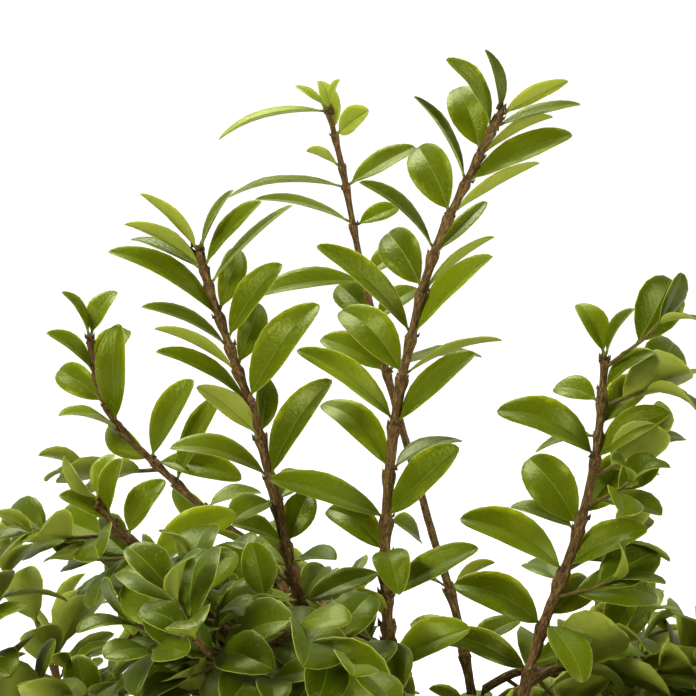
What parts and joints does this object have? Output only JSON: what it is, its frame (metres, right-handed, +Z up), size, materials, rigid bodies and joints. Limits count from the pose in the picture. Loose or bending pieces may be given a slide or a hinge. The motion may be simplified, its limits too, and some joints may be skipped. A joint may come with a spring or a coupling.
{
  "type": "potted box honeysuckle",
  "caption": "Small evergreen shrub with upright leafy shoots of opposite oval leaves, standing in a plain round clay pot.",
  "frame": {"origin": "centre of the pot's flat underside", "axes": "+Z up along the pot's axis, -Y towards the side that the picture shows, +X to that side's right"},
  "size_m": [0.2587, 0.2466, 0.4195],
  "materials": {
    "clay": "matte, unglazed terracotta",
    "compost": "matte, crumbly",
    "bark": "matte, finely fissured",
    "foliage": "satin upper leaf faces, paler and duller below"
  },
  "bodies": {
    "root": {"bough_back": "bark", "bough_back_left": "bark", "bough_back_low": "bark", "bough_back_right": "bark", "bough_centre": "bark", "bough_far_left": "bark", "bough_front": "bark", "bough_front_left": "bark", "bough_front_right": "bark", "bough_left": "bark", "bough_left_low": "bark", "bough_right": "bark", "bough_right_low": "bark", "bough_short_left": "bark", "compost": "compost", "main_stem_back_left": "bark", "main_stem_back_right": "bark", "main_stem_front": "bark", "main_stem_left": "bark", "main_stem_right": "bark", "pot": "clay", "root_crown": "bark", "shoot_back": "foliage", "shoot_centre": "foliage", "shoot_far_left": "foliage", "shoot_left": "foliage", "shoot_right": "foliage", "shoot_short_left": "foliage", "spray_back_1": "foliage", "spray_back_left_1": "foliage", "spray_back_left_2": "foliage", "spray_back_low_1": "foliage", "spray_back_low_2": "foliage", "spray_back_low_3": "foliage", "spray_back_right_1": "foliage", "spray_back_right_2": "foliage", "spray_back_right_3": "foliage", "spray_centre_1": "foliage", "spray_far_left_1": "foliage", "spray_front_1": "foliage", "spray_front_2": "foliage", "spray_front_3": "foliage", "spray_front_left_1": "foliage", "spray_front_left_2": "foliage", "spray_front_left_3": "foliage", "spray_front_right_1": "foliage", "spray_front_right_2": "foliage", "spray_left_1": "foliage", "spray_left_low_1": "foliage", "spray_left_low_2": "foliage", "spray_left_low_3": "foliage", "spray_right_1": "foliage", "spray_right_low_1": "foliage", "spray_right_low_2": "foliage", "spray_right_low_3": "foliage", "spray_short_left_1": "foliage"}
  },
  "joints": []
}
